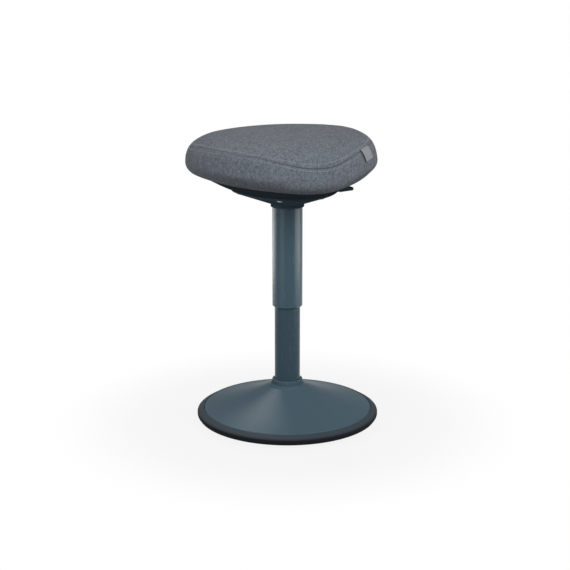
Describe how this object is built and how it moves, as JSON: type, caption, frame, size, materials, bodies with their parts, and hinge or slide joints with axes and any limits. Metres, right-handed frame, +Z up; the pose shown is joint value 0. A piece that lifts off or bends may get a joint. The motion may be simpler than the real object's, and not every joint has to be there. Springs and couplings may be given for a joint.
{
  "type": "active sit-stand stool",
  "caption": "Stool with a padded, domed, rounded-triangle seat on a telescopic gas-spring column and a cone base whose convex sole lets it rock.",
  "frame": {"origin": "on the floor, at the middle of the sole's flat, on the column's axis", "axes": "+Z up along the column, one seat corner towards -Y"},
  "size_m": [0.3656, 0.378, 0.5833],
  "materials": {
    "cover_cloth": "woven melange cloth",
    "label_cloth": "blank woven tab",
    "seat_padding": "moulded foam",
    "board_wood": "plywood",
    "shell_plastic": "fine grain",
    "flange_metal": "dark powder coat",
    "column_paint": "satin slate powder coat",
    "black_rubber": "matt",
    "guide_plastic": "smooth black",
    "zinc_steel": "zinc plated",
    "screw_steel": "satin",
    "lever_steel": "black coat",
    "cylinder_coat": "black coat",
    "bearing_steel": "polished",
    "turned_aluminium": "turned",
    "grey_iron": "as cast"
  },
  "bodies": {
    "base": {"rocker_sole": "black_rubber", "sole_screws": "zinc_steel", "base_plate": "zinc_steel", "ballast_ring": "grey_iron", "ballast_bolts": "zinc_steel", "column_socket": "grey_iron", "socket_bolts": "zinc_steel", "base_dish": "column_paint", "rim_bumper": "black_rubber", "foot_collar": "column_paint", "lower_tube": "column_paint", "guide_bush": "guide_plastic", "bearing_lower_washer": "bearing_steel", "bearing_balls": "bearing_steel", "bearing_cage": "guide_plastic"},
    "rod": {"bearing_upper_washer": "bearing_steel", "rubber_buffer": "black_rubber", "piston_rod": "bearing_steel", "rod_clip": "zinc_steel", "clip_washer": "zinc_steel", "piston": "turned_aluminium", "piston_seal": "black_rubber"},
    "seat": {"gas_cylinder": "cylinder_coat", "cylinder_gland": "turned_aluminium", "upper_tube": "column_paint", "wiper_ring": "guide_plastic", "seat_flange": "flange_metal", "lever_pivot_pin": "zinc_steel", "seat_shell": "shell_plastic", "flange_screws": "screw_steel", "seat_board": "board_wood", "tee_nuts": "zinc_steel", "seat_foam": "seat_padding", "cover_band": "cover_cloth", "cover_top": "cover_cloth", "cover_label": "label_cloth"},
    "lever": {"release_lever": "lever_steel", "lever_grip": "shell_plastic"},
    "valve": {"valve_pin": "bearing_steel"}
  },
  "joints": [
    {"name": "seat_swivel", "type": "hinge", "parent": "base", "child": "rod", "pos_m": [0, 0, 0.035], "axis": [0, 0, 1], "continuous": true},
    {"name": "height_adjust", "type": "slide", "parent": "rod", "child": "seat", "axis": [0, 0, 1], "range_m": [-0.12, 0.04]},
    {"name": "release_lever", "type": "hinge", "parent": "seat", "child": "lever", "pos_m": [0.02104, 0.00643, 0.464], "axis": [0.2924, -0.9563, 0], "range_deg": [0, 7], "stiffness_Nm_per_rad": 6, "springref_deg": -2.86},
    {"name": "valve_press", "type": "slide", "parent": "seat", "child": "valve", "axis": [0, 0, 1], "range_m": [-0.003, 0]}
  ],
  "couplings": [
    {"joint": "valve_press", "follows": "release_lever", "m_per_rad": -0.0235}
  ]
}
